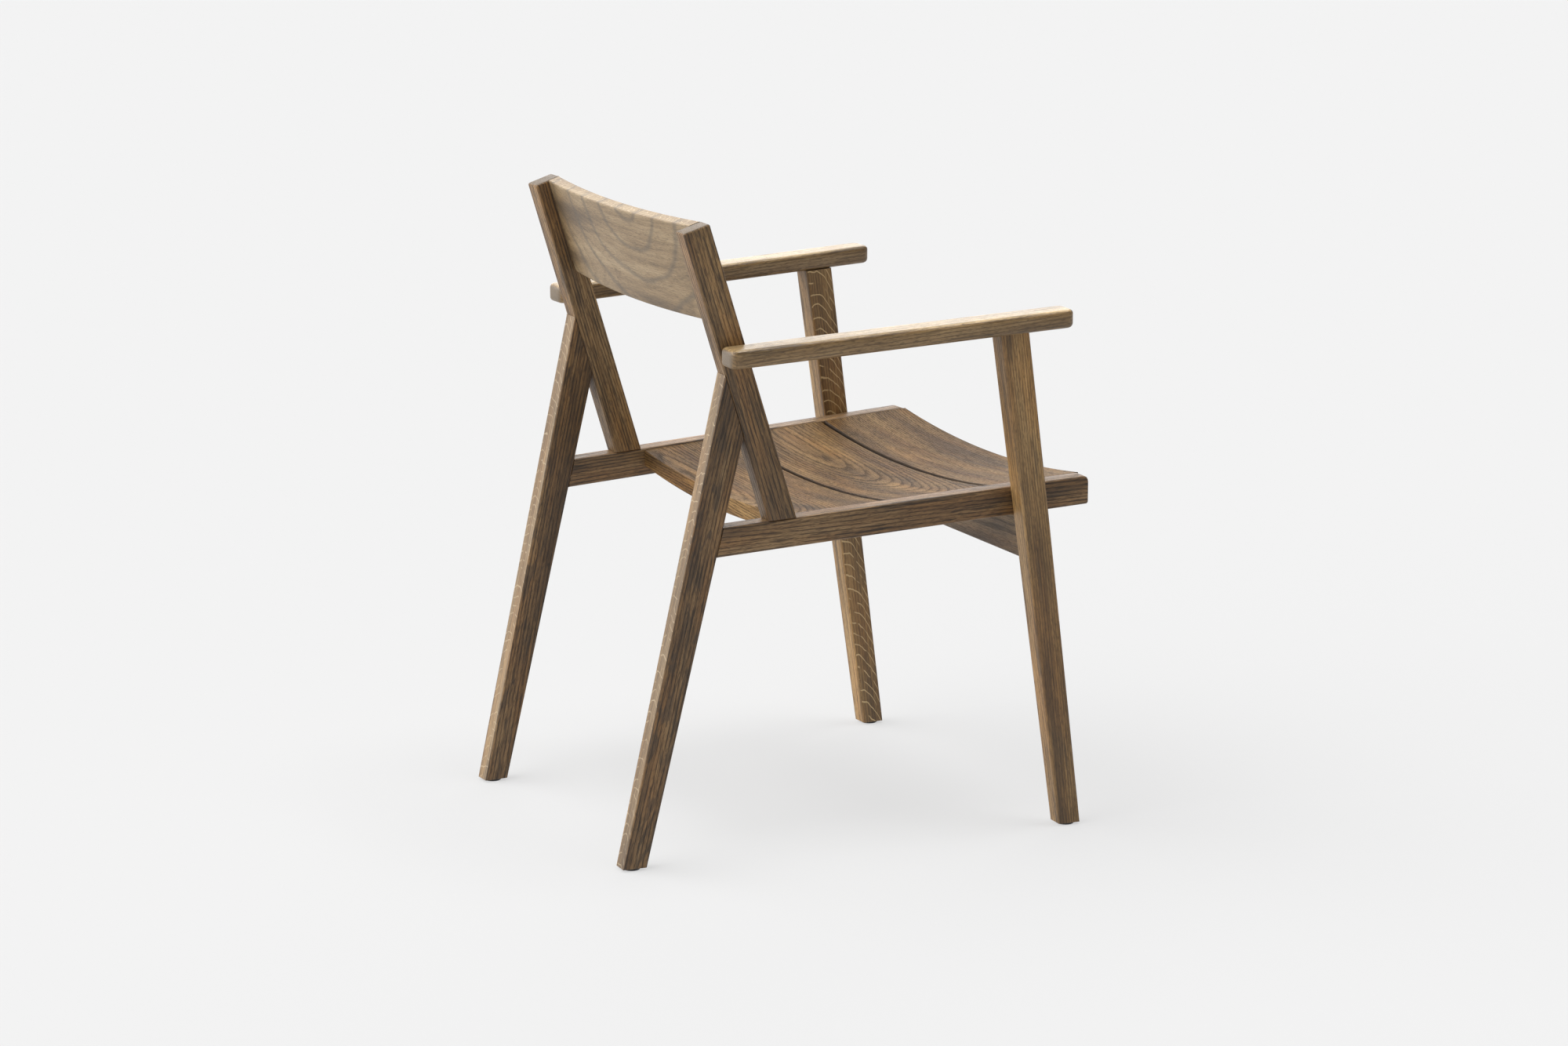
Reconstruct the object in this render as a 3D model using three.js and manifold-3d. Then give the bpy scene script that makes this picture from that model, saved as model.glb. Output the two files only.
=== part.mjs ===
import * as THREE from 'three';
import { mergeVertices } from 'three/addons/utils/BufferGeometryUtils.js';
import Module from 'manifold-3d';

const wasm = await Module();
wasm.setup();

// A wooden armchair in millimetres, +Z up. It faces -Y, its centre line is X = 0, the floor is Z = 0
// and "forward" values below are distances towards the front, so forward = -Y.
const gap = 0.3;                 // clearance left between two pieces that touch
const halfWidth = 226;           // centre line to a side frame's inside face, at forward 0
const toe = Math.atan(0.04);     // each side frame opens towards the front by this angle
const frameThickness = 27;       // rear leg, back post and side rail share one plane

const glide = { radius: 11, height: 2.5, stemRadius: 1.5, stemLength: 16 };
const rearLeg = { foot: -314.5, lean: 0.225, footDepth: 32, topDepth: 43.5, kink: 608.5, footThickness: 25 };
const post = { lean: 0.308, depth: 37.6, top: 782.6 };
const rail = { underside: 392.7, rise: 0.05, height: 36.2, front: 315.4, noseRadius: 9 };
const frontLeg = { foot: 266.4, lean: -0.142, footDepth: 30.4, topDepth: 38.7, thickness: 31, footThickness: 26 };
const arm = { underside: 629.1, rise: 0.046, thickness: 23, width: 40, rear: -185, front: 273, corner: 9 };
const backrest = { height: 126, thickness: 16, inset: 18.5, bow: 12 };
const seat = { thickness: 22, dish: 14.5, drop: 2, seam: 5, edges: [-80, 47, 186, 313.5] };
const crossRail = { underside: 346, height: 52, thickness: 20, rear: 223 };
const dowel = { radius: 4, thin: 3 };
const looseTenon = { thickness: 9, width: 22, length: 36 };

const railAngle = Math.atan(rail.rise);
const armAngle = Math.atan(arm.rise);
const postAngle = Math.atan(post.lean);

const oak = new THREE.MeshStandardMaterial({ color: 0x8a7355, roughness: 0.5, metalness: 0 });
const beech = new THREE.MeshStandardMaterial({ color: 0xc9a77a, roughness: 0.7, metalness: 0 });
const plastic = new THREE.MeshStandardMaterial({ color: 0x1c1b1a, roughness: 0.5, metalness: 0 });

// Side-view lines: the forward distance of a member's edge at a height, or the height at a distance.
const rearLegBack = (up) => rearLeg.foot + rearLeg.lean * (up - glide.height);
const rearLegTaper = (rearLeg.topDepth - rearLeg.footDepth) / (rearLeg.kink - glide.height);
const rearLegFront = (up) => rearLegBack(up) + rearLeg.footDepth + rearLegTaper * (up - glide.height);
const postBack = (up) => rearLegBack(rearLeg.kink) - post.lean * (up - rearLeg.kink);
const railUnder = (forward) => rail.underside + rail.rise * forward;
const railTop = (forward) => railUnder(forward) + rail.height;
const armUnder = (forward) => arm.underside + arm.rise * forward;
const frontLegBack = (up) => frontLeg.foot + frontLeg.lean * (up - glide.height);
const frontLegTaper = (frontLeg.topDepth - frontLeg.footDepth) / (arm.underside - glide.height);
const frontLegFront = (up) => frontLegBack(up) + frontLeg.footDepth + frontLegTaper * (up - glide.height);

// Where the line forward = a + b * up meets the line up = c + d * forward.
function meet(edge, level) {
  const lean = edge(1) - edge(0);
  const rise = level(1) - level(0);
  const up = (level(0) + rise * edge(0)) / (1 - rise * lean);
  return [edge(up), up];
}

// Where two leaning edges cross, as [forward, up].
function cross(first, second) {
  const up = (second(0) - first(0)) / (first(1) - first(0) - second(1) + second(0));
  return [first(up), up];
}

const chair = new THREE.Group();
const clearances = new Map();    // each pin or tenon with the larger shape that its holes are cut to

function shapeOf(points) {
  return new THREE.Shape(points.map(([x, y]) => new THREE.Vector2(x, y)));
}

function named(name, geometry, material, parent) {
  const mesh = new THREE.Mesh(geometry, material);
  mesh.name = name;
  parent.add(mesh);
  return mesh;
}

// A board seen from its side (forward, up), with its thickness across the chair. Its own X = 0 is the
// inside face, and side is 1 for the left of the chair (+X) and -1 for the right.
function sideBoard(shape, thickness, side, curveSegments = 4) {
  const geometry = new THREE.ExtrudeGeometry(shape, { depth: thickness, bevelEnabled: false, curveSegments });
  geometry.applyMatrix4(new THREE.Matrix4().makeBasis(
    new THREE.Vector3(0, -1, 0), new THREE.Vector3(0, 0, 1), new THREE.Vector3(-1, 0, 0)));
  if (side > 0) geometry.translate(thickness, 0, 0);
  return geometry;
}

// Thins a side board from its outside face below a height, down to the given thickness at the floor.
function thinBelow(geometry, height, thickness, footThickness) {
  const place = geometry.attributes.position;
  for (let i = 0; i < place.count; i += 1) {
    const short = Math.max(0, (height - place.getZ(i)) / height);
    place.setX(i, place.getX(i) * (1 - short * (1 - footThickness / thickness)));
  }
  return geometry;
}

function solidFrom(geometry, matrix) {
  let welded = geometry.clone().applyMatrix4(matrix);
  welded.deleteAttribute('normal');
  welded.deleteAttribute('uv');
  welded = mergeVertices(welded, 1e-4);
  return new wasm.Manifold(new wasm.Mesh({
    numProp: 3,
    vertProperties: new Float32Array(welded.attributes.position.array),
    triVerts: new Uint32Array(welded.index.array),
  }));
}

function geometryFrom(solid) {
  const { vertProperties, triVerts } = solid.getMesh();
  const geometry = new THREE.BufferGeometry();
  geometry.setAttribute('position', new THREE.BufferAttribute(new Float32Array(vertProperties), 3));
  geometry.setIndex(new THREE.BufferAttribute(new Uint32Array(triVerts), 1));
  geometry.computeVertexNormals();
  return geometry;
}

// The matrix that brings another mesh's shape into this mesh's own space.
function bringInto(mesh, other) {
  chair.updateMatrixWorld(true);
  return mesh.matrixWorld.clone().invert().multiply(other.matrixWorld);
}

// Cuts the hole for each pin or tenon in a mesh, at the pin's own place and with its clearance.
function bore(mesh, pins) {
  let solid = solidFrom(mesh.geometry, new THREE.Matrix4());
  for (const pin of pins) {
    solid = solid.subtract(solidFrom(clearances.get(pin), bringInto(mesh, pin)));
  }
  mesh.geometry = geometryFrom(solid);
}

// Keeps the part of a mesh that lies between two upright faces set out from the side frames.
function trimBetween(mesh, outset) {
  const reach = 500;
  const edge = (forward) => halfWidth + outset + Math.tan(toe) * forward;
  const plan = shapeOf([[-edge(-reach), reach], [-edge(reach), -reach], [edge(reach), -reach], [edge(-reach), reach]]);
  const block = new THREE.Mesh(new THREE.ExtrudeGeometry(plan, { depth: 1000, bevelEnabled: false }));
  const solid = solidFrom(mesh.geometry, new THREE.Matrix4());
  mesh.geometry = geometryFrom(solid.intersect(solidFrom(block.geometry, bringInto(mesh, block))));
}

// A round dowel centred on a point, lying along X, Y or Z of its parent.
function addDowel(name, parent, radius, length, place, along) {
  const round = (extra) => new THREE.CylinderGeometry(radius + extra, radius + extra, length + 2 * extra, 12);
  const mesh = named(name, round(0), beech, parent);
  mesh.quaternion.setFromUnitVectors(new THREE.Vector3(0, 1, 0), along);
  mesh.position.set(...place);
  clearances.set(mesh, round(gap));
  return mesh;
}

// A flat loose tenon centred on a point: its size is given along X, Y and Z before it is tipped about X.
function addTenon(name, parent, size, place, tip = 0) {
  const flat = (extra) => new THREE.BoxGeometry(...size.map((side) => side + 2 * extra));
  const mesh = named(name, flat(0), beech, parent);
  mesh.rotation.x = tip;
  mesh.position.set(...place);
  clearances.set(mesh, flat(gap));
  return mesh;
}

const across = new THREE.Vector3(1, 0, 0);

// One side of the chair: rear leg, post, side rail, front leg and armrest, with what joins them.
function buildSide(side) {
  const hand = side > 0 ? 'left' : 'right';
  const frame = new THREE.Group();
  frame.position.x = side * halfWidth;
  frame.rotation.z = side * toe;
  chair.add(frame);
  const outside = frameThickness + gap;                       // inside face of the front leg and the arm

  const glueFace = (up) => postBack(up) - gap / Math.cos(postAngle);
  const legOutline = shapeOf([
    [rearLegBack(glide.height + gap), glide.height + gap],
    [rearLegFront(glide.height + gap), glide.height + gap],
    [rearLegFront(rail.underside), rail.underside],
    cross(rearLegFront, glueFace),
    cross(rearLegBack, glueFace),
    [rearLegBack(rail.underside), rail.underside],
  ]);
  const legBoard = sideBoard(legOutline, frameThickness, side);
  const leg = named(`rear_leg_${hand}`,
    thinBelow(legBoard, rail.underside, frameThickness, rearLeg.footThickness), oak, frame);

  const postFoot = (forward) => railTop(forward) + gap;
  const postFront = (up) => postBack(up) + post.depth;
  const topLine = (forward) => post.top + (forward - postBack(post.top)) * Math.tan(postAngle);
  const postOutline = shapeOf([meet(postBack, postFoot), meet(postFront, postFoot),
    meet(postFront, topLine), meet(postBack, topLine)]);
  const backPost = named(`back_post_${hand}`, sideBoard(postOutline, frameThickness, side), oak, frame);

  const railEnd = (up) => rearLegFront(up) + gap;
  const railOutline = shapeOf([meet(railEnd, railUnder), [rail.front, railUnder(rail.front)]]);
  railOutline.lineTo(rail.front, railTop(rail.front) - rail.noseRadius);
  railOutline.quadraticCurveTo(rail.front, railTop(rail.front),
    rail.front - rail.noseRadius, railTop(rail.front - rail.noseRadius));
  railOutline.lineTo(...meet(railEnd, railTop));
  const sideRail = named(`side_rail_${hand}`, sideBoard(railOutline, frameThickness, side), oak, frame);

  const underArm = (forward) => armUnder(forward) - gap;
  const frontOutline = shapeOf([
    [frontLegBack(glide.height + gap), glide.height + gap],
    [frontLegFront(glide.height + gap), glide.height + gap],
    [frontLegFront(rail.underside), rail.underside],
    meet(frontLegFront, underArm),
    meet(frontLegBack, underArm),
    [frontLegBack(rail.underside), rail.underside],
  ]);
  const frontBoard = thinBelow(sideBoard(frontOutline, frontLeg.thickness, side),
    rail.underside, frontLeg.thickness, frontLeg.footThickness);
  const foreLeg = named(`front_leg_${hand}`, frontBoard, oak, frame);
  foreLeg.position.x = side * outside;

  const armrest = addArmrest(hand, side, frame, outside);

  const legPins = [0.45, 0.75].map((share, i) => {
    const [apex, kink] = [cross(rearLegFront, postBack), cross(rearLegBack, postBack)];
    const up = kink[1] + share * (apex[1] - kink[1]);
    const shift = 3;                                           // further into the post than into the leg
    const place = [side * frameThickness / 2, -(postBack(up) + shift * Math.cos(postAngle)),
      up + shift * Math.sin(postAngle)];
    const along = new THREE.Vector3(0, -Math.cos(postAngle), Math.sin(postAngle));
    return addDowel(`rear_leg_dowel_${hand}_${i + 1}`, frame, dowel.radius, 30, place, along);
  });

  const railJoint = meet(rearLegFront, (forward) => railTop(forward) - rail.height / 2);
  const railTenon = addTenon(`rail_tenon_${hand}`, frame,
    [looseTenon.thickness, looseTenon.length, looseTenon.width],
    [side * frameThickness / 2, -railJoint[0], railJoint[1]], -railAngle);

  const postJoint = meet((up) => postBack(up) + post.depth / 2, railTop);
  const postTenon = addTenon(`post_tenon_${hand}`, frame,
    [looseTenon.thickness, looseTenon.width, looseTenon.length],
    [side * frameThickness / 2, -postJoint[0], postJoint[1]], -railAngle);

  const legMiddle = (up) => (frontLegBack(up) + frontLegFront(up)) / 2;
  const crossing = meet(legMiddle, (forward) => railTop(forward) - rail.height / 2);
  const frontPins = [-9, 9].map((step, i) => {
    const up = crossing[1] + step;
    return addDowel(`front_leg_dowel_${hand}_${i + 1}`, frame, dowel.radius, 32,
      [side * (outside + 2), -legMiddle(up), up], across);
  });

  const armJoint = meet(legMiddle, armUnder);
  const armTenonDepth = 12;                                    // into the armrest, the rest into the leg
  const armTenon = addTenon(`arm_tenon_${hand}`, frame, [looseTenon.thickness, looseTenon.width, looseTenon.length],
    [side * (outside + frontLeg.thickness / 2), -armJoint[0], armJoint[1] + armTenonDepth - looseTenon.length / 2],
    -armAngle);

  const armLine = (up) => postBack(up) + post.depth / 2;
  const armMiddle = meet(armLine, (forward) => armUnder(forward) + arm.thickness / 2);
  const armPins = [-8.5, 8.5].map((step, i) => addDowel(`arm_dowel_${hand}_${i + 1}`, frame, dowel.radius, 32,
    [side * (outside + 2), -(armMiddle[0] + step), armMiddle[1] + arm.rise * step], across));

  for (const [foot, back, front, thickness, start] of [
    ['rear', rearLegBack, rearLegFront, rearLeg.footThickness, 0],
    ['front', frontLegBack, frontLegFront, frontLeg.footThickness, outside],
  ]) {
    const middle = (back(glide.height) + front(glide.height)) / 2;
    addGlide(`glide_${foot}_${hand}`, frame, [side * (start + thickness / 2), -middle, 0]);
  }
  const [rearGlide, frontGlide] = frame.children.filter((child) => child.name.startsWith('glide'));

  bore(leg, [...legPins, railTenon, rearGlide]);
  bore(backPost, [...legPins, postTenon, ...armPins]);
  bore(sideRail, [railTenon, postTenon, ...frontPins]);
  bore(foreLeg, [...frontPins, armTenon, frontGlide]);
  bore(armrest, [armTenon, ...armPins]);
  return { frame, backPost, sideRail, foreLeg };
}

// The armrest is a flat board with rounded corners in plan, lying beside the post and on the front leg.
function addArmrest(hand, side, frame, outside) {
  const length = (arm.front - arm.rear) / Math.cos(armAngle);
  const r = arm.corner;
  const plan = new THREE.Shape();
  plan.moveTo(r, 0);
  plan.lineTo(arm.width - r, 0);
  plan.quadraticCurveTo(arm.width, 0, arm.width, -r);
  plan.lineTo(arm.width, r - length);
  plan.quadraticCurveTo(arm.width, -length, arm.width - r, -length);
  plan.lineTo(r, -length);
  plan.quadraticCurveTo(0, -length, 0, r - length);
  plan.lineTo(0, -r);
  plan.quadraticCurveTo(0, 0, r, 0);
  const geometry = new THREE.ExtrudeGeometry(plan, { depth: arm.thickness, bevelEnabled: false, curveSegments: 4 });
  if (side < 0) geometry.translate(-arm.width, 0, 0);
  const mesh = named(`armrest_${hand}`, geometry, oak, frame);
  mesh.rotation.x = -armAngle;
  mesh.position.set(side * outside, -arm.rear, armUnder(arm.rear));
  return mesh;
}

// A glide is a low disc with a nail-like stem that is driven into the leg's end.
function addGlide(name, frame, place) {
  const profile = (extra) => [[0, 0], [glide.radius - 1, 0], [glide.radius, 1], [glide.radius, glide.height],
    [glide.stemRadius + extra, glide.height], [glide.stemRadius + extra, glide.height + glide.stemLength + extra],
    [0, glide.height + glide.stemLength + extra]].map(([x, y]) => new THREE.Vector2(x, y));
  const turned = (extra) => new THREE.LatheGeometry(profile(extra), 16).rotateX(Math.PI / 2);
  const mesh = named(name, turned(0), plastic, frame);
  mesh.position.set(...place);
  clearances.set(mesh, turned(gap));
  return mesh;
}

// The backrest is bent about an axis along the posts, so it bows towards the back in the middle.
function addBackrest() {
  const reach = halfWidth + 5;
  const steps = 16;
  const span = halfWidth + Math.tan(toe) * postBack(post.top);
  const bowAt = (x) => backrest.bow * (1 - (x / span) ** 2);
  const xs = Array.from({ length: steps + 1 }, (_, i) => -reach + (2 * reach * i) / steps);
  const rearFace = xs.map((x) => [x, bowAt(x) - backrest.inset]);
  const frontFace = xs.map((x) => [x, bowAt(x) - backrest.inset - backrest.thickness]);
  const section = shapeOf([...frontFace, ...rearFace.reverse()]);
  const geometry = new THREE.ExtrudeGeometry(section, { depth: backrest.height, bevelEnabled: false });
  geometry.translate(0, 0, -backrest.height);
  const mesh = named('backrest_panel', geometry, oak, chair);
  mesh.rotation.x = -postAngle;
  mesh.position.set(0, -postBack(post.top), post.top);
  trimBetween(mesh, -gap);
  return mesh;
}

// The seat is three boards laid across the chair, each hollowed across its length like a shallow dish.
function addSeatBoards() {
  const steps = 16;
  return ['rear', 'middle', 'front'].map((name, i) => {
    const rear = seat.edges[i] + (i > 0 ? seat.seam / 2 : 0);
    const front = seat.edges[i + 1] - (i < 2 ? seat.seam / 2 : 0);
    const reach = halfWidth + Math.tan(toe) * front + 5;
    const dishAt = (x) => seat.dish * ((x / halfWidth) ** 2 - 1) - seat.drop;
    const xs = Array.from({ length: steps + 1 }, (_, k) => -reach + (2 * reach * k) / steps);
    const top = xs.map((x) => [x, dishAt(x)]);
    const under = xs.map((x) => [x, dishAt(x) - seat.thickness]);
    const section = shapeOf([...under, ...top.reverse()]);
    const length = (front - rear) / Math.cos(railAngle);
    const geometry = new THREE.ExtrudeGeometry(section, { depth: length, bevelEnabled: false });
    geometry.applyMatrix4(new THREE.Matrix4().makeRotationX(Math.PI / 2));
    const mesh = named(`seat_board_${name}`, geometry, oak, chair);
    mesh.rotation.x = -railAngle;
    mesh.position.set(0, -rear, railTop(rear));
    trimBetween(mesh, -gap);
    return { mesh, rear, front };
  });
}

function addCrossRail() {
  const reach = 2 * (halfWidth + frameThickness + 20);
  const geometry = new THREE.BoxGeometry(reach, crossRail.thickness, crossRail.height);
  const mesh = named('front_cross_rail', geometry, oak, chair);
  mesh.position.set(0, -(crossRail.rear + crossRail.thickness / 2), crossRail.underside + crossRail.height / 2);
  trimBetween(mesh, (frameThickness + gap) / Math.cos(toe) - gap);
  return mesh;
}

const backrestPanel = addBackrest();
const boards = addSeatBoards();
const crossPiece = addCrossRail();
const panelPins = [];
const crossTenons = [];
const boardPins = boards.map(() => []);

for (const side of [1, -1]) {
  const hand = side > 0 ? 'left' : 'right';
  const { frame, backPost, sideRail, foreLeg } = buildSide(side);

  // Dowels in line with the panel's thickness, spread over its height.
  const panelHeights = [0.18, 0.5, 0.82];
  const pins = panelHeights.map((share, i) => {
    const down = share * backrest.height;
    const deep = backrest.inset + backrest.thickness / 2;
    const forward = postBack(post.top) + down * Math.sin(postAngle) + deep * Math.cos(postAngle);
    const up = post.top - down * Math.cos(postAngle) + deep * Math.sin(postAngle);
    return addDowel(`backrest_dowel_${hand}_${i + 1}`, frame, dowel.thin, 30, [-side * 2, -forward, up], across);
  });
  panelPins.push(...pins);
  bore(backPost, pins);

  const railPins = boards.flatMap(({ mesh, rear, front }, i) => {
    const boardDowels = [rear + 13, front - 24].map((forward, k) => addDowel(
      `${mesh.name}_dowel_${hand}_${k + 1}`, frame, dowel.thin, 24,
      [-side * 2, -forward, railTop(forward) - seat.drop - seat.thickness / 2], across));
    boardPins[i].push(...boardDowels);
    return boardDowels;
  });
  bore(sideRail, railPins);

  const tenon = addTenon(`cross_rail_tenon_${hand}`, frame, [30, looseTenon.thickness - 1, 36],
    [side * frameThickness, -(crossRail.rear + crossRail.thickness / 2), crossRail.underside + crossRail.height / 2]);
  crossTenons.push(tenon);
  bore(foreLeg, [tenon]);
}
bore(backrestPanel, panelPins);
bore(crossPiece, crossTenons);
boards.forEach(({ mesh }, i) => bore(mesh, boardPins[i]));

export default chair;
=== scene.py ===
import math

import bmesh
import bpy
from mathutils import Matrix, Vector
from mathutils.bvhtree import BVHTree


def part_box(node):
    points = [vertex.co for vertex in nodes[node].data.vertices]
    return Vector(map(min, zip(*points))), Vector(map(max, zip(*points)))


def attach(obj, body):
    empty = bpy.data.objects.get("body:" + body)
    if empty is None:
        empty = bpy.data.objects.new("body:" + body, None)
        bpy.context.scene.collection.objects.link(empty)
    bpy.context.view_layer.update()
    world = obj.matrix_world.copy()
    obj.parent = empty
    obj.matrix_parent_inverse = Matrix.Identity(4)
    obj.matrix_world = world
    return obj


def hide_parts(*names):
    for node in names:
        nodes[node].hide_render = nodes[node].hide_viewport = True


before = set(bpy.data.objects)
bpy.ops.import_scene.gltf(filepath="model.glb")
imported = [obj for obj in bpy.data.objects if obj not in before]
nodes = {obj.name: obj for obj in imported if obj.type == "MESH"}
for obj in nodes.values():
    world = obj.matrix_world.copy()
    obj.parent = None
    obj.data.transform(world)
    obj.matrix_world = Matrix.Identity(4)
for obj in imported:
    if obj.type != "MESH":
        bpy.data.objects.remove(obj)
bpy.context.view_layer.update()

view = {"place": (-5.099, 2.425, 1.592), "azimuth": 244.41, "elevation": 12.3, "focal": 103.6}


def addCamera():
    data = bpy.data.cameras.new("camera")
    data.sensor_width = 36.0  # millimetres, so the focal length reads as on a full-frame camera
    data.lens = view["focal"]
    data.clip_end = 60.0
    camera = bpy.data.objects.new("camera", data)
    camera.location = view["place"]
    camera.rotation_euler = (math.radians(90.0 - view["elevation"]), 0.0, math.radians(view["azimuth"]))
    bpy.context.scene.collection.objects.link(camera)
    bpy.context.scene.camera = camera


addCamera()
print("camera placed")


def addNode(tree, kind, settings=None, inputs=None):
    made = tree.nodes.new(kind)
    for name, value in (settings or {}).items():
        setattr(made, name, value)
    for name, value in (inputs or {}).items():
        if isinstance(value, bpy.types.NodeSocket):
            tree.links.new(value, made.inputs[name])
        else:
            made.inputs[name].default_value = value
    return made


def mathNode(tree, operation, first, second=0.0, third=0.0):
    made = addNode(tree, "ShaderNodeMath", {"operation": operation}, {0: first, 1: second, 2: third})
    return made.outputs[0]


def vectorNode(tree, operation, first, second=(0.0, 0.0, 0.0)):
    made = addNode(tree, "ShaderNodeVectorMath", {"operation": operation}, {0: first, 1: second})
    return made.outputs["Value" if operation in ("DOT_PRODUCT", "LENGTH") else "Vector"]


def noiseNode(tree, vector, stretch, detail=2.0, roughness=0.5, distortion=0.0):
    return addNode(tree, "ShaderNodeTexNoise", None, {
        "Vector": vectorNode(tree, "MULTIPLY", vector, stretch),
        "Scale": 1.0,
        "Detail": detail,
        "Roughness": roughness,
        "Distortion": distortion,
    })


# A smooth step from one value to another, between the low and the high input.
def rangeNode(tree, value, low, high, outLow=0.0, outHigh=1.0):
    made = addNode(tree, "ShaderNodeMapRange", {"interpolation_type": "SMOOTHSTEP"}, {
        "Value": value, "From Min": low, "From Max": high, "To Min": outLow, "To Max": outHigh})
    return made.outputs["Result"]


def mixColour(tree, amount, first, second, blend="MIX"):
    made = tree.nodes.new("ShaderNodeMix")
    made.data_type = "RGBA"
    made.blend_type = blend
    made.clamp_factor = True
    for index, value in ((0, amount), (6, first), (7, second)):  # the colour mix's own sockets
        if isinstance(value, bpy.types.NodeSocket):
            tree.links.new(value, made.inputs[index])
        else:
            made.inputs[index].default_value = value
    return made.outputs[2]


# The studio: a pale floor that glows a little, and a dim room with soft boxes in it.
studio = {
    "white": (1.0, 1.0, 1.0, 1.0),
    "floor": (0.21, 0.21, 0.21, 1.0),
    "floorSize": 60.0,
    "glow": 0.562,
    "room": 0.10,
    "boxes": (  # where each box hangs, where it fades in and is full (cosines), and how bright it is
        {"towards": (0.30, 0.80, 0.50), "from": 0.45, "to": 0.95, "power": 3.4},
        {"towards": (-0.12, -0.25, 1.0), "from": 0.955, "to": 0.985, "power": 8.0},
        {"towards": (0.86, -0.42, 0.26), "from": 0.80, "to": 0.96, "power": 2.2},
    ),
}


def addStudio():
    bpy.context.scene.view_settings.view_transform = "Standard"
    bm = bmesh.new()
    bmesh.ops.create_grid(bm, x_segments=1, y_segments=1, size=studio["floorSize"])
    floorMesh = bpy.data.meshes.new("floor")
    bm.to_mesh(floorMesh)
    bm.free()
    floor = bpy.data.objects.new("floor", floorMesh)
    bpy.context.scene.collection.objects.link(floor)
    paint = bpy.data.materials.new("studio_floor")
    paint.use_nodes = True
    shader = paint.node_tree.nodes["Principled BSDF"]
    shader.inputs["Base Color"].default_value = studio["floor"]
    shader.inputs["Roughness"].default_value = 1.0
    shader.inputs["Specular IOR Level"].default_value = 0.0
    shader.inputs["Emission Color"].default_value = studio["white"]
    shader.inputs["Emission Strength"].default_value = studio["glow"]
    floorMesh.materials.append(paint)

    world = bpy.data.worlds.new("studio")
    world.use_nodes = True
    bpy.context.scene.world = world
    tree = world.node_tree
    background = tree.nodes["Background"]
    background.inputs["Color"].default_value = studio["white"]
    direction = addNode(tree, "ShaderNodeTexCoord").outputs["Generated"]
    light = studio["room"]
    for box in studio["boxes"]:
        facing = vectorNode(tree, "DOT_PRODUCT", direction, Vector(box["towards"]).normalized())
        glow = rangeNode(tree, facing, box["from"], box["to"], 0.0, box["power"])
        light = mathNode(tree, "ADD", glow, light)
    tree.links.new(light, background.inputs["Strength"])


addStudio()
print("studio lit")


# The colours of smoked oak.
oak = {
    "dark": (0.026, 0.018, 0.013, 1.0),  # open pores, filled by the smoke stain; also the painted shade beside the seat's seams
    "deep": (0.100, 0.058, 0.026, 1.0),
    "body": (0.230, 0.138, 0.060, 1.0),
    "pale": (0.380, 0.255, 0.130, 1.0),
    "ray": (0.640, 0.480, 0.290, 1.0),  # the flecks of quartersawn faces
    "stain": (0.060, 0.043, 0.028, 1.0),  # where the smoke bit deeper
    "end": (0.135, 0.102, 0.072, 1.0),
    "blush": (1.18, 0.98, 0.72, 1.0),  # a warmer cast, where the smoke took less evenly
}

# How fine each pattern is: its waves in a metre along the grain, and across it both ways.
figure = {
    "warp": (2.6, 16.0, 16.0),
    "drift": (3.6, 36.0, 36.0),
    "fibre": (34.0, 1100.0, 1100.0),
    "weave": (45.0, 90.0, 90.0),
    "streak": (30.0, 820.0, 820.0),
    "gather": (8.0, 90.0, 90.0),
    "pore": (120.0, 1300.0, 1300.0),
    "blush": (5.0, 42.0, 42.0),
    "flame": (16.0, 70.0, 70.0),
    "rayWobble": (30.0, 55.0, 55.0),
    "arcWobble": (9.0, 14.0, 14.0),
}
# Metres: how far rings wander, streaks sway and broad arcs waver, how deep the open grain is,
# and where the painted shade beside a seam fades out and is full.
reach = {"wander": 0.009, "sway": 0.0016, "waver": 0.030, "relief": 0.0006, "seamShade": (0.0042, 0.0028)}

# How a board looks unless its own dictionary says otherwise.
plain = {
    "tilt": 0.0,  # degrees between the grain and the board's face
    "ring": 0.0034,  # metres from one year to the next
    "contrast": 0.13,  # between early and late wood, and from year to year
    "lift": 0.0,  # paler all over
    "streaks": 0.74,
    "pores": 0.5,
    "clean": 0.0,  # leaves out the fainter streaks
    "blotch": 0.55,  # dark stain gathered along the streaks
    "flame": 0.0,  # dark stain in swirls
    "warm": 0.5,
    "tint": (0.86, 0.82, 0.76, 1.0),
    "silver": (1.0, 1.0, 1.0, 1.0),  # a further tint on quartersawn faces
    "paler": 0.0,  # quartersawn faces against the others
    "closed": 0.0,  # how much of their open grain is gone
    "wearAndPaintedSheen": None,  # painted sheen: lightens what faces up, standing in for the glancing highlight on the tops
    "roughness": (0.42, 0.66),  # of smooth and of open grain
    "gloss": 0.5,
    "seams": (),
    "fleck": None,
    "arcs": None,
}


# Turns Object coordinates so that the first axis follows the grain and the third faces out of the board.
def alongGrain(tree, place, grain, face, tilt):
    along = Vector(grain).normalized()
    out = Vector(face)
    out = (out - along * out.dot(along)).normalized()
    turn = Matrix((along, out.cross(along), out))
    turn = Matrix.Rotation(math.radians(tilt), 3, "Y") @ turn
    coordinates = addNode(tree, "ShaderNodeTexCoord")
    mapped = addNode(tree, "ShaderNodeMapping", {"vector_type": "POINT"}, {
        "Vector": coordinates.outputs["Object"],
        "Location": -(turn @ Vector(place)),
        "Rotation": turn.to_euler("XYZ"),
    })
    normal = addNode(tree, "ShaderNodeMapping", {"vector_type": "NORMAL"}, {
        "Vector": coordinates.outputs["Normal"],
        "Rotation": turn.to_euler("XYZ"),
    })
    return mapped.outputs["Vector"], normal.outputs["Vector"], coordinates.outputs["Normal"]


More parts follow.
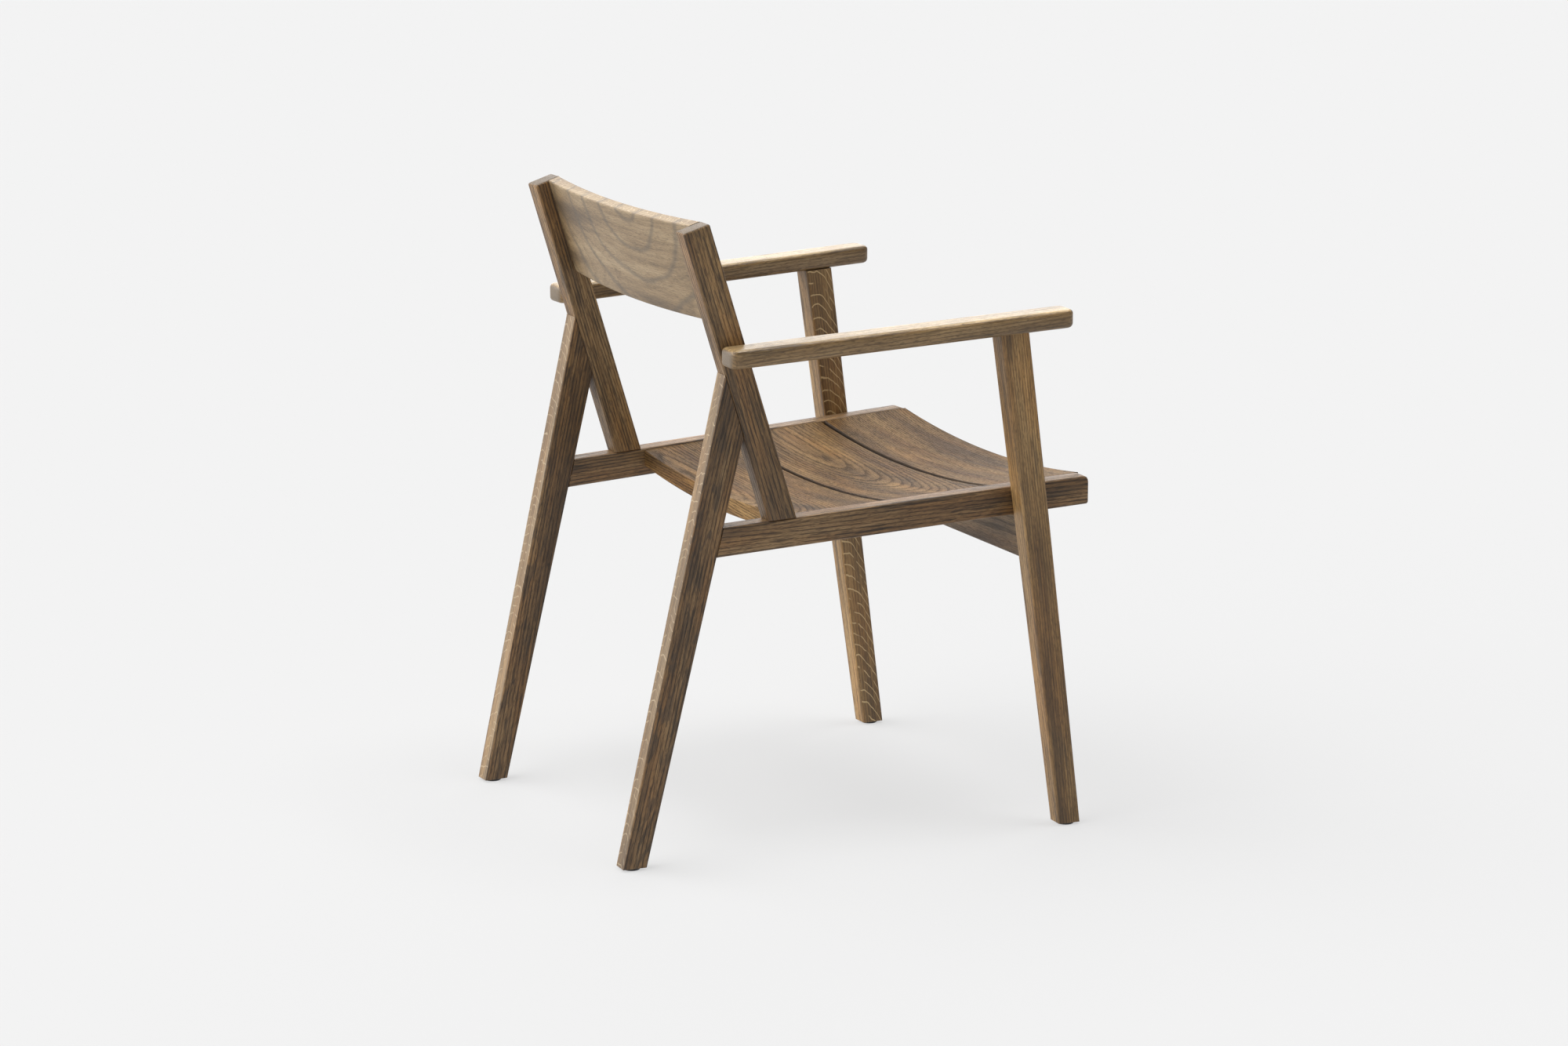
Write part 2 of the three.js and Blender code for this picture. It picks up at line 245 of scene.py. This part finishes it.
# How squarely a face looks along the rays of the wood.
def quarterSawn(tree, normal, fleck):
    facing = vectorNode(tree, "DOT_PRODUCT", normal, fleck["faces"])
    if fleck["bothSides"]:
        facing = mathNode(tree, "ABSOLUTE", facing)
    return rangeNode(tree, facing, 0.75, 0.97)


# Pale ray flecks that cross the grain in arches, in patches.
def fleckLines(tree, point, fleck):
    axes = addNode(tree, "ShaderNodeSeparateXYZ", None, {0: point})
    across = 1 if abs(fleck["faces"][2]) > 0.5 else 2
    side = mathNode(tree, "SUBTRACT", axes.outputs[across], fleck["middle"])
    bow = mathNode(tree, "MULTIPLY", mathNode(tree, "MULTIPLY", side, side), fleck["arch"])
    wobble = noiseNode(tree, point, figure["rayWobble"], 2.0).outputs["Fac"]
    wander = mathNode(tree, "MULTIPLY", mathNode(tree, "SUBTRACT", wobble, 0.5), fleck["wander"])
    height = mathNode(tree, "ADD", mathNode(tree, "ADD", axes.outputs[0], bow), wander)
    turns = mathNode(tree, "FRACT", mathNode(tree, "DIVIDE", height, fleck["pitch"]))
    band = mathNode(tree, "ABSOLUTE", mathNode(tree, "SUBTRACT", turns, 0.5))
    line = rangeNode(tree, band, fleck["width"], fleck["width"] * 0.3)
    patch = noiseNode(tree, point, (fleck["patch"], fleck["patch"] * 1.5, fleck["patch"] * 1.5), 1.0)
    edge = 0.70 - 0.4 * fleck["amount"]
    shown = rangeNode(tree, patch.outputs["Fac"], edge, edge + 0.10)
    return mathNode(tree, "MULTIPLY", line, shown)


# Broad darker bows, the year rings of a wide board.
def softArcs(tree, point, arcs):
    wobble = noiseNode(tree, point, figure["arcWobble"], 2.0).outputs["Color"]
    waver = vectorNode(tree, "MULTIPLY", wobble, (reach["waver"], reach["waver"], 0.0))
    fromMiddle = vectorNode(tree, "SUBTRACT", vectorNode(tree, "ADD", point, waver), arcs["middle"])
    radius = vectorNode(tree, "LENGTH", vectorNode(tree, "MULTIPLY", fromMiddle, arcs["stretch"]))
    turns = mathNode(tree, "FRACT", mathNode(tree, "DIVIDE", radius, arcs["pitch"]))
    band = mathNode(tree, "ABSOLUTE", mathNode(tree, "SUBTRACT", turns, 0.5))
    return mathNode(tree, "MULTIPLY", rangeNode(tree, band, arcs["width"], 0.0), arcs["strength"])


def multiplied(tree, colour, factor):
    return mixColour(tree, 1.0, colour, factor, "MULTIPLY")


def centred(tree, value):
    return mathNode(tree, "SUBTRACT", value, 0.5)


def oakMaterial(name, settings):
    look = dict(plain, **settings)
    fleck = look["fleck"]
    material = bpy.data.materials.new(name)
    material.use_nodes = True
    tree = material.node_tree
    shader = tree.nodes["Principled BSDF"]
    point, normal, outward = alongGrain(tree, look["place"], look["grain"], look["face"], look["tilt"])
    shifted = vectorNode(tree, "ADD", point, (look["seed"] * 1.37, look["seed"] * 0.61, look["seed"] * 0.83))

    # year rings round the heart of the log, wandering a little along the board
    warp = noiseNode(tree, shifted, figure["warp"], 2.0, 0.45).outputs["Color"]
    swing = vectorNode(tree, "SUBTRACT", warp, (0.5, 0.5, 0.5))
    swing = vectorNode(tree, "MULTIPLY", swing, (0.0, reach["wander"], reach["wander"]))
    heart = vectorNode(tree, "SUBTRACT", vectorNode(tree, "ADD", point, swing), (0.0,) + tuple(look["heart"]))
    radius = vectorNode(tree, "LENGTH", vectorNode(tree, "MULTIPLY", heart, (0.0, 1.0, 1.0)))
    rings = mathNode(tree, "DIVIDE", radius, look["ring"])
    season = mathNode(tree, "FRACT", rings)
    early = mathNode(tree, "SUBTRACT", 1.0, rangeNode(tree, season, 0.05, 0.55))
    early = mathNode(tree, "ADD", early, rangeNode(tree, season, 0.93, 1.0))
    year = addNode(tree, "ShaderNodeTexWhiteNoise", {"noise_dimensions": "1D"}, {
        "W": mathNode(tree, "FLOOR", rings)}).outputs["Value"]

    # tone: slow drift, each year's own shade, fibres, and paler quartersawn faces
    drift = noiseNode(tree, shifted, figure["drift"], 3.0, 0.55).outputs["Fac"]
    drift = mathNode(tree, "MULTIPLY_ADD", centred(tree, drift), 1.3, 0.5 + look["lift"])
    tone = mathNode(tree, "MULTIPLY_ADD", centred(tree, year), look["contrast"], drift)
    tone = mathNode(tree, "MULTIPLY_ADD", early, -look["contrast"], tone)
    fibre = noiseNode(tree, shifted, figure["fibre"], 2.0, 0.6).outputs["Fac"]
    tone = mathNode(tree, "MULTIPLY_ADD", centred(tree, fibre), 0.60, tone)
    quarter = quarterSawn(tree, normal, fleck) if fleck else 0.0
    tone = mathNode(tree, "MULTIPLY_ADD", quarter, look["paler"], tone)
    ramp = addNode(tree, "ShaderNodeValToRGB", None, {"Fac": tone})
    stops = ramp.color_ramp.elements
    stops[0].position, stops[0].color = 0.20, oak["deep"]
    stops[1].position, stops[1].color = 0.85, oak["pale"]
    stops.new(0.50).color = oak["body"]

    # open grain: long dark streaks gathered in the early wood, and short pores between them
    weave = noiseNode(tree, shifted, figure["weave"], 1.0).outputs["Color"]
    sway = vectorNode(tree, "SUBTRACT", weave, (0.5, 0.5, 0.5))
    sway = vectorNode(tree, "MULTIPLY", sway, (0.0, reach["sway"], reach["sway"]))
    woven = vectorNode(tree, "ADD", shifted, sway)
    streak = noiseNode(tree, woven, figure["streak"], 2.0, 0.60).outputs["Fac"]
    gather = noiseNode(tree, shifted, figure["gather"], 2.0).outputs["Fac"]
    streak = mathNode(tree, "MULTIPLY_ADD", centred(tree, gather), 0.26, streak)
    streak = mathNode(tree, "MULTIPLY_ADD", early, 0.15, streak)
    streaked = rangeNode(tree, streak, 0.555 + look["clean"], 0.655 + look["clean"])
    pore = noiseNode(tree, woven, figure["pore"], 1.0).outputs["Fac"]
    pored = rangeNode(tree, mathNode(tree, "MULTIPLY_ADD", early, 0.06, pore), 0.56, 0.64)
    opened = mathNode(tree, "MAXIMUM", mathNode(tree, "MULTIPLY", streaked, look["streaks"]),
                      mathNode(tree, "MULTIPLY", pored, look["pores"]))
    opened = mathNode(tree, "MULTIPLY", opened, mathNode(tree, "MULTIPLY_ADD", quarter, -look["closed"], 1.0))

    # uneven smoke: a warm blush, dark stain along the streaks, and darker swirls
    blush = noiseNode(tree, shifted, figure["blush"], 2.0).outputs["Fac"]
    blush = mathNode(tree, "MULTIPLY", rangeNode(tree, blush, 0.42, 0.66), look["warm"])
    wood = mixColour(tree, blush, ramp.outputs["Color"], multiplied(tree, ramp.outputs["Color"], oak["blush"]))
    stained = mathNode(tree, "MULTIPLY", rangeNode(tree, gather, 0.57, 0.70), look["blotch"])
    if look["flame"]:
        flame = noiseNode(tree, shifted, figure["flame"], 2.0, 0.5, 1.6).outputs["Fac"]
        flame = mathNode(tree, "MULTIPLY", rangeNode(tree, flame, 0.53, 0.63), look["flame"])
        stained = mathNode(tree, "MAXIMUM", stained, flame)
    stained = mathNode(tree, "MULTIPLY", stained, mathNode(tree, "MULTIPLY_ADD", quarter, -0.8, 1.0))
    colour = mixColour(tree, opened, mixColour(tree, stained, wood, oak["stain"]), oak["dark"])

    # broad arcs, ray flecks, end grain, and the board's own tint
    if look["arcs"]:
        colour = mixColour(tree, softArcs(tree, point, look["arcs"]), colour, oak["stain"])
    if fleck:
        shown = mathNode(tree, "MULTIPLY", fleckLines(tree, point, fleck), quarter)
        colour = mixColour(tree, mathNode(tree, "MULTIPLY", shown, fleck["strength"]), colour, oak["ray"])
    ends = mathNode(tree, "ABSOLUTE", vectorNode(tree, "DOT_PRODUCT", normal, (1.0, 0.0, 0.0)))
    ends = mathNode(tree, "MULTIPLY", rangeNode(tree, ends, 0.7, 0.95), 0.8)
    colour = multiplied(tree, mixColour(tree, ends, colour, oak["end"]), look["tint"])
    if fleck:
        colour = mixColour(tree, quarter, colour, multiplied(tree, colour, look["silver"]))

    # painted shade darkens the boards beside each seam, and faces that look up get a painted sheen
    if look["seams"]:
        objectPoint = addNode(tree, "ShaderNodeTexCoord").outputs["Object"]
        depth = addNode(tree, "ShaderNodeSeparateXYZ", None, {0: objectPoint}).outputs[1]
        for seam in look["seams"]:
            # painted shade: darker within a few millimetres of the seam
            away = mathNode(tree, "ABSOLUTE", mathNode(tree, "SUBTRACT", depth, seam))
            colour = mixColour(tree, rangeNode(tree, away, *reach["seamShade"], 0.0, 0.85), colour, oak["dark"])
    # painted sheen: faces that look up are made paler, standing in for the glancing highlight on their tops
    if look["wearAndPaintedSheen"]:
        paintedSheenMask = rangeNode(tree, vectorNode(tree, "DOT_PRODUCT", outward, (0.0, 0.0, 1.0)), 0.55, 0.97)
        colour = mixColour(tree, paintedSheenMask, colour, vectorNode(tree, "MULTIPLY", colour, look["wearAndPaintedSheen"]))

    tree.links.new(colour, shader.inputs["Base Color"])
    shader.inputs["Specular IOR Level"].default_value = look["gloss"]
    tree.links.new(rangeNode(tree, opened, 0.0, 1.0, *look["roughness"]), shader.inputs["Roughness"])
    hills = mathNode(tree, "MULTIPLY_ADD", fibre, 0.35, mathNode(tree, "MULTIPLY", opened, -1.0))
    bump = addNode(tree, "ShaderNodeBump", None, {
        "Strength": 0.35, "Distance": reach["relief"], "Height": hills})
    tree.links.new(bump.outputs["Normal"], shader.inputs["Normal"])
    return material


# Corners and surfaces of the frame's own solids.
def cornersOf(name):
    return [v.co.copy() for v in nodes[name].data.vertices]


def cornerTowards(points, direction):
    return max(points, key=lambda p: p.dot(Vector(direction)))


def surfaceOf(name):
    bm = bmesh.new()
    bm.from_mesh(nodes[name].data)
    tree = BVHTree.FromBMesh(bm)
    bm.free()
    return tree


surfaces = {name: surfaceOf(name) for name in nodes if "dowel" not in name and "tenon" not in name}

# Metres. Free arrises get the board's own rounding, glued ones stay tight, and leg ends keep a small chamfer.
arris = {
    "glued": 0.0004,
    "gluedWithin": 0.0012,
    "foot": 0.0010,
    "footHeight": 0.010,
    "widest": 0.02,  # what a bevel weight of one stands for
    "smooth": 30.0,  # degrees: a softer fold isn't an arris
    "segments": 4,
}


def touches(point, others):
    return any(surfaces[name].find_nearest(point, arris["gluedWithin"])[0] is not None for name in others)


# A straight member: the tight block around its frame node, with the bores left out.
def straightBlock(name):
    bm = bmesh.new()
    bm.from_mesh(nodes[name].data)
    bmesh.ops.delete(bm, geom=bm.edges[:] + bm.faces[:], context="EDGES_FACES")
    bmesh.ops.remove_doubles(bm, verts=bm.verts, dist=1e-5)
    bmesh.ops.convex_hull(bm, input=bm.verts)
    bmesh.ops.delete(bm, geom=[v for v in bm.verts if not v.link_faces], context="VERTS")
    bmesh.ops.dissolve_limit(bm, angle_limit=math.radians(0.25), verts=bm.verts, edges=bm.edges)
    bmesh.ops.recalc_face_normals(bm, faces=bm.faces)
    return bm


# An armrest: a block turned and sloped like its frame node, with round corners in plan and soft arrises.
armShape = {"corner": 0.010, "cornerSegments": 7, "arris": 0.0055, "arrisSegments": 5}


def armrestBlock(name):
    block = straightBlock(name)
    spans = [e.verts[1].co - e.verts[0].co for e in block.edges]
    along = max(spans, key=lambda span: span.length)
    toe = (math.atan2(along.x, along.y) + math.pi / 2) % math.pi - math.pi / 2
    rise = along.z / math.hypot(along.x, along.y)
    rise = rise if along.y > 0 else -rise
    slope = Matrix.Identity(4)
    slope[2][1] = rise  # the arm climbs along its length, and its ends stay upright
    pose = Matrix.Rotation(-toe, 4, "Z") @ slope
    local = [pose.inverted() @ v.co for v in block.verts]
    block.free()
    low = Vector([min(p[i] for p in local) for i in range(3)])
    high = Vector([max(p[i] for p in local) for i in range(3)])
    bm = bmesh.new()
    bmesh.ops.create_cube(bm, size=1.0)
    bmesh.ops.scale(bm, vec=high - low, verts=bm.verts)
    bmesh.ops.translate(bm, vec=(low + high) / 2, verts=bm.verts)
    upright = [e for e in bm.edges if abs(e.verts[0].co.z - e.verts[1].co.z) > 0.01]
    bmesh.ops.bevel(bm, geom=upright, offset=armShape["corner"], offset_type="OFFSET", affect="EDGES",
                    segments=armShape["cornerSegments"], profile=0.5, material=-1)
    rims = [e for e in bm.edges if e.calc_face_angle() > math.radians(69.0)]
    bmesh.ops.bevel(bm, geom=rims, offset=armShape["arris"], offset_type="OFFSET", affect="EDGES",
                    segments=armShape["arrisSegments"], profile=0.5, material=-1, clamp_overlap=True)
    bmesh.ops.transform(bm, matrix=pose, verts=bm.verts)
    bmesh.ops.recalc_face_normals(bm, faces=bm.faces)
    return bm


# A board that is bent across the chair: it keeps its frame node's middle section and end sections.
bent = {"cuts": 47, "softness": 0.0018}


def bentBoard(name):
    points = cornersOf(name)
    middle = [p for p in points if abs(p.x) < 1e-4]
    corners = {(0, 0): (0, -1, -1), (1, 0): (0, 2, -1), (0, 1): (0, -2, 1), (1, 1): (0, 1, 1)}  # (back, top)
    middles = {key: cornerTowards(middle, way) for key, way in corners.items()}
    ends = {key: cornerTowards(points, (1.0, way[1], way[2])) for key, way in corners.items()}
    bm = bmesh.new()
    bmesh.ops.create_cube(bm, size=1.0)
    along = [e for e in bm.edges if abs(e.verts[0].co.x - e.verts[1].co.x) > 0.5]
    bmesh.ops.subdivide_edges(bm, edges=along, cuts=bent["cuts"], use_grid_fill=True)
    for v in bm.verts:
        share, back, top = 2.0 * v.co.x, v.co.y + 0.5, v.co.z + 0.5
        shares = {key: (back if key[0] else 1 - back) * (top if key[1] else 1 - top) for key in corners}
        inMiddle, atEnd = (sum((section[key] * shares[key] for key in corners), Vector())
                           for section in (middles, ends))
        v.co = inMiddle.lerp(atEnd, share * share)
        v.co.x = atEnd.x * share
    bmesh.ops.recalc_face_normals(bm, faces=bm.faces)
    return bm


def finishBoard(bm, name, others, softness):
    weight = bm.edges.layers.float.new("bevel_weight_edge")
    for edge in bm.edges:
        if len(edge.link_faces) != 2 or edge.calc_face_angle() < math.radians(arris["smooth"]):
            continue
        a, b = (v.co for v in edge.verts)
        size = softness
        if max(a.z, b.z) < arris["footHeight"]:
            size = min(softness, arris["foot"])
        if all(touches(a.lerp(b, share), others) for share in (0.2, 0.5, 0.8)):
            size = arris["glued"]
        edge[weight] = size / arris["widest"]
    for face in bm.faces:
        face.smooth = True
    mesh = bpy.data.meshes.new(name)
    bm.to_mesh(mesh)
    bm.free()
    piece = bpy.data.objects.new(name, mesh)
    bpy.context.scene.collection.objects.link(piece)
    bevel = piece.modifiers.new("rounding", "BEVEL")
    bevel.limit_method = "WEIGHT"
    bevel.width = arris["widest"]
    bevel.segments = arris["segments"]
    bevel.use_clamp_overlap = False
    bevel.harden_normals = True
    bevel.miter_outer = "MITER_ARC"
    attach(piece, "root")
    return piece


boards = {}


def addBoard(name, block, others, softness):
    boards[name] = finishBoard(block, f"{name}_wood", others, softness)
    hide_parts(name)


# Each board with the pieces it is glued to, and the rounding of its free arrises.
for hand in ("left", "right"):
    post, leg, rail, arm = (f"{kind}_{hand}" for kind in ("back_post", "rear_leg", "side_rail", "armrest"))
    addBoard(leg, straightBlock(leg), [post, rail], 0.0028)
    addBoard(post, straightBlock(post), [leg, rail, arm], 0.0028)
    addBoard(rail, straightBlock(rail), [leg], 0.0030)
    addBoard(f"front_leg_{hand}", straightBlock(f"front_leg_{hand}"), [arm], 0.0035)
    addBoard(arm, armrestBlock(arm), [], 0.0)  # its arrises are rounded already
addBoard("front_cross_rail", straightBlock("front_cross_rail"), ["front_leg_left", "front_leg_right"], 0.0025)
seatBoards = ["seat_board_rear", "seat_board_middle", "seat_board_front"]
for name in seatBoards:
    addBoard(name, bentBoard(name), ["side_rail_left", "side_rail_right"], bent["softness"])
addBoard("backrest_panel", bentBoard("backrest_panel"), ["back_post_left", "back_post_right"], bent["softness"])
print("boards shaped")


# The board's own length, as a direction that points roughly the given way.
def longestEdge(piece, roughly):
    mesh = piece.data
    spans = [mesh.vertices[e.vertices[1]].co - mesh.vertices[e.vertices[0]].co for e in mesh.edges]
    way = max(spans, key=lambda span: span.length).normalized()
    return way if way.dot(Vector(roughly)) > 0 else -way


def middleOf(name):
    low, high = (Vector(corner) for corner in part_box(name))
    return (low + high) / 2


def paintBoard(name, look):
    boards[name].data.materials.append(oakMaterial(f"oak_{name}", dict(look, place=middleOf(name))))


up = (0.0, 0.0, 1.0)
leftward = (1.0, 0.0, 0.0)
backward = (0.0, 1.0, 0.0)
forward = (0.0, -1.0, 0.0)
# A heart is the middle of the log, in metres from the board's own middle: across its face, then out of it.
for hand, side in (("left", 1.0), ("right", -1.0)):
    outward = (side, 0.0, 0.0)
    rearLeg = {
        "face": outward, "grain": up, "heart": (0.052, -0.050), "tilt": 1.2, "flame": 0.60,
        "tint": (0.86, 0.81, 0.73, 1.0), "silver": (0.95, 1.06, 1.25, 1.0), "paler": 0.04, "closed": 0.60,
        "fleck": {"faces": backward, "bothSides": True, "middle": 0.0, "arch": 36.0, "wander": 0.020,
                  "pitch": 0.012, "width": 0.085, "patch": 70.0, "amount": 0.66, "strength": 0.46},
    }
    backPost = {
        "face": outward, "grain": up, "heart": (-0.055, -0.045), "tilt": -0.6, "warm": 0.6, "flame": 0.35,
        "tint": (0.99, 0.96, 0.86, 1.0),
    }
    sideRail = {
        # painted sheen: the rail tops are made paler
        "face": outward, "grain": forward, "heart": (0.055, -0.050), "tilt": 1.0, "wearAndPaintedSheen": (1.55, 1.55, 1.55),
    }
    frontLeg = {
        "face": outward, "grain": up, "heart": (0.060, 0.030), "streaks": 0.52, "contrast": 0.08,
        "tint": (1.15, 1.11, 0.93, 1.0), "paler": 0.02, "closed": 0.25,
        "fleck": {"faces": (0.0, 0.0, -1.0), "bothSides": False, "middle": -0.012 * side, "arch": 42.0,
                  "wander": 0.016, "pitch": 0.0165, "width": 0.085, "patch": 45.0, "amount": 0.82,
                  "strength": 0.75},
    }
    armrest = {
        "face": up, "grain": forward, "heart": (0.035, -0.070), "tilt": 1.5, "lift": 0.06, "streaks": 0.50,
        "clean": 0.03, "warm": 0.2, "contrast": 0.07, "blotch": 0.35, "tint": (0.96, 0.98, 0.94, 1.0),
        # painted sheen: the arm tops are made much paler and greyer
        "wearAndPaintedSheen": (2.00, 2.20, 2.42), "roughness": (0.28, 0.52),
    }
    looks = {"rear_leg": rearLeg, "back_post": backPost, "side_rail": sideRail, "front_leg": frontLeg,
             "armrest": armrest}
    for index, (kind, look) in enumerate(looks.items()):
        look["grain"] = longestEdge(boards[f"{kind}_{hand}"], look["grain"])
        look["seed"] = 1.0 + index + 5.0 * side
        paintBoard(f"{kind}_{hand}", look)

crossRail = {
    "face": backward, "grain": leftward, "heart": (0.02, -0.08), "seed": 31.0, "streaks": 0.5, "blotch": 0.2,
    "tint": (0.98, 1.00, 0.98, 1.0),
}
paintBoard("front_cross_rail", crossRail)

boxes = [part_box(name) for name in seatBoards]
seat = {
    "face": up, "grain": leftward, "tint": (0.80, 0.72, 0.52, 1.0), "streaks": 0.62, "blotch": 0.3,
    "gloss": 0.20, "roughness": (0.58, 0.78),
    "seams": [(behind[0][1] + ahead[1][1]) / 2 for behind, ahead in zip(boxes, boxes[1:])],
}
paintBoard("seat_board_rear", dict(seat, heart=(0.05, -0.040), tilt=3.0, seed=33.0))
paintBoard("seat_board_middle", dict(seat, heart=(0.0, -0.030), tilt=5.5, seed=35.0, ring=0.0045))
paintBoard("seat_board_front", dict(seat, heart=(-0.12, -0.03), seed=37.0))

backrest = {
    "face": backward, "grain": leftward, "heart": (0.0, -0.15), "tilt": 2.0, "seed": 39.0, "contrast": 0.04,
    "streaks": 0.18, "clean": 0.12, "pores": 0.32, "warm": 0.0, "blotch": 0.0, "tint": (0.90, 1.00, 1.13, 1.0),
    # painted sheen: the panel's top edge is made paler
    "wearAndPaintedSheen": (1.10, 1.04, 0.95), "paler": 0.06, "closed": 0.4,
    "arcs": {"middle": (-0.03, -0.05, 0.0), "stretch": (1.0, 1.45, 0.0), "pitch": 0.055, "width": 0.15,
             "strength": 0.50},
    "fleck": {"faces": backward, "bothSides": True, "middle": 0.0, "arch": 0.0, "wander": 0.05, "pitch": 0.009,
              "width": 0.14, "patch": 70.0, "amount": 0.9, "strength": 0.45},
}
paintBoard("backrest_panel", backrest)
print("boards finished in oak")


# What stays from the frame: turned beech dowels and tenons out of sight, and the black nylon glides.
beech = {"light": (0.56, 0.36, 0.20, 1.0), "dark": (0.36, 0.20, 0.10, 1.0), "fleck": (0.24, 0.12, 0.06, 1.0)}
nylon = {"black": (0.012, 0.012, 0.013, 1.0), "scuffed": (0.045, 0.044, 0.042, 1.0)}


def beechMaterial():
    material = bpy.data.materials.new("beech_joinery")
    material.use_nodes = True
    tree = material.node_tree
    shader = tree.nodes["Principled BSDF"]
    place = addNode(tree, "ShaderNodeTexCoord").outputs["Object"]
    bands = noiseNode(tree, place, (60.0, 400.0, 400.0), 3.0, 0.6, 0.3).outputs["Fac"]
    colour = mixColour(tree, rangeNode(tree, bands, 0.35, 0.65), beech["light"], beech["dark"])
    specks = noiseNode(tree, place, (900.0, 1800.0, 1800.0), 1.0).outputs["Fac"]
    colour = mixColour(tree, rangeNode(tree, specks, 0.62, 0.70), colour, beech["fleck"])
    tree.links.new(colour, shader.inputs["Base Color"])
    tree.links.new(rangeNode(tree, bands, 0.3, 0.7, 0.45, 0.60), shader.inputs["Roughness"])
    bump = addNode(tree, "ShaderNodeBump", None, {"Strength": 0.2, "Distance": 0.0002, "Height": specks})
    tree.links.new(bump.outputs["Normal"], shader.inputs["Normal"])
    return material


def nylonMaterial():
    material = bpy.data.materials.new("black_nylon")
    material.use_nodes = True
    tree = material.node_tree
    shader = tree.nodes["Principled BSDF"]
    place = addNode(tree, "ShaderNodeTexCoord").outputs["Object"]
    grainy = noiseNode(tree, place, (2200.0, 2200.0, 2200.0), 2.0).outputs["Fac"]
    scuffs = noiseNode(tree, place, (260.0, 700.0, 260.0), 3.0, 0.7).outputs["Fac"]
    wearAndPaintedSheen = rangeNode(tree, scuffs, 0.52, 0.70)
    tree.links.new(mixColour(tree, wearAndPaintedSheen, nylon["black"], nylon["scuffed"]), shader.inputs["Base Color"])
    tree.links.new(rangeNode(tree, scuffs, 0.3, 0.7, 0.42, 0.68), shader.inputs["Roughness"])
    bump = addNode(tree, "ShaderNodeBump", None, {"Strength": 0.25, "Distance": 0.0002, "Height": grainy})
    tree.links.new(bump.outputs["Normal"], shader.inputs["Normal"])
    return material


beechWood = beechMaterial()
blackNylon = nylonMaterial()
for name, node in nodes.items():
    if name in boards:
        continue
    finish = blackNylon if name.startswith("glide") else beechWood
    for slot in node.material_slots:
        slot.material = finish
print("joinery and glides finished")
